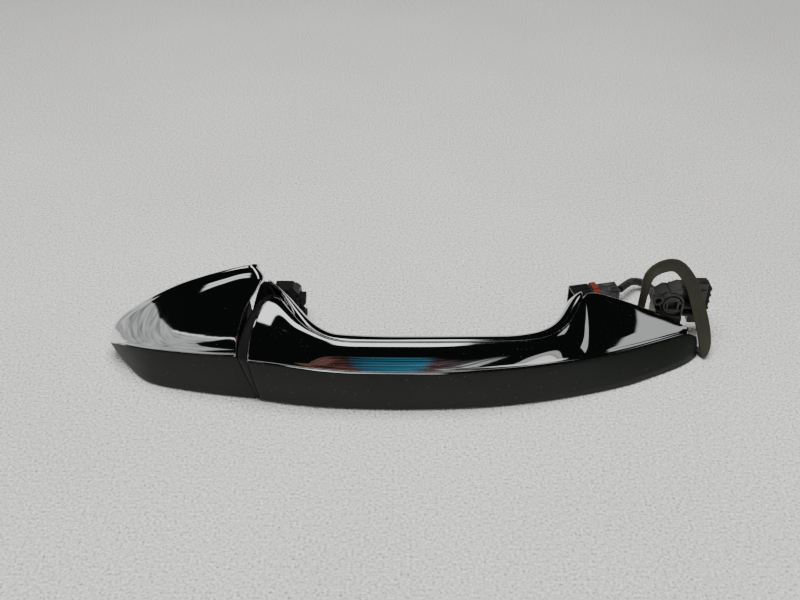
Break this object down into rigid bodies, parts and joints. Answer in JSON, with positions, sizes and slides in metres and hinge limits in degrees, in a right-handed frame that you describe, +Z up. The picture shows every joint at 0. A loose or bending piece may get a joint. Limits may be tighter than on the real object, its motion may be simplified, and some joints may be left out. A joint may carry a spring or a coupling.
{
  "type": "car door handle",
  "caption": "Car door pull handle with a chrome upper, dark lower face, separate end cap, pivot and hook legs, foam gasket and a short wired connector.",
  "frame": {"origin": "middle of the footprint without the lead and its connector, on the surface that the handle lies on", "axes": "+X along the handle from the fixed cap to the pivot end, +Y from the hand towards the door, +Z up from the handle's lower edge"},
  "size_m": [0.2732, 0.0913, 0.0453],
  "materials": {
    "chrome_plating": "mirror-bright chrome plating",
    "dark_paint": "dark grey satin paint",
    "black_plastic": "black moulded plastic, fine grain",
    "grey_moulding": "dark grey glass-filled plastic, matte",
    "gloss_black_plastic": "black semi-gloss plastic",
    "red_plastic": "orange-red plastic, satin",
    "black_rubber": "black rubber, matte",
    "olive_rubber": "olive-grey soft rubber, matte",
    "braided_sleeve": "black woven sleeve",
    "zinc_steel": "zinc-plated steel",
    "copper": "bare copper",
    "brass": "plated brass",
    "ferrite": "dark grey ferrite, matte",
    "circuit_board": "green lacquered laminate"
  },
  "bodies": {
    "cap": {"cap_chrome_trim": "chrome_plating", "cap_cover": "dark_paint", "cap_body": "black_plastic", "cap_clip": "zinc_steel"},
    "grip": {"grip_chrome_trim": "chrome_plating", "grip_cover": "dark_paint", "grip_inner_shell": "chrome_plating", "grip_core": "black_plastic", "grip_end_piece": "black_plastic", "core_screw_upper": "zinc_steel", "core_screw_lower": "zinc_steel", "aerial_ferrite": "ferrite", "aerial_bobbin": "black_plastic", "aerial_coil": "copper", "sensor_board": "circuit_board", "unlock_electrode": "copper", "lock_electrode": "copper", "pocket_cover": "black_plastic", "pivot_leg": "grey_moulding", "pivot_pad": "black_rubber", "hook_leg": "black_plastic", "hook_wear_plate": "zinc_steel", "hook_bumper": "black_rubber", "wire_grommet": "black_rubber", "lead_sleeve": "braided_sleeve", "connector_housing": "gloss_black_plastic", "connector_rear_cover": "grey_moulding", "connector_terminals": "brass", "connector_wire_seal": "black_rubber", "pivot_gasket": "olive_rubber"},
    "lock_ring": {"connector_lock": "red_plastic"}
  },
  "joints": [
    {"name": "grip_pull", "type": "hinge", "parent": "cap", "child": "grip", "pos_m": [0.1341, 0.02075, 0.018], "axis": [0, 0, 1], "range_deg": [0, 7]},
    {"name": "lock_slide", "type": "slide", "parent": "grip", "child": "lock_ring", "axis": [0.9763, 0.2164, 0], "range_m": [0, 0.002]}
  ]
}
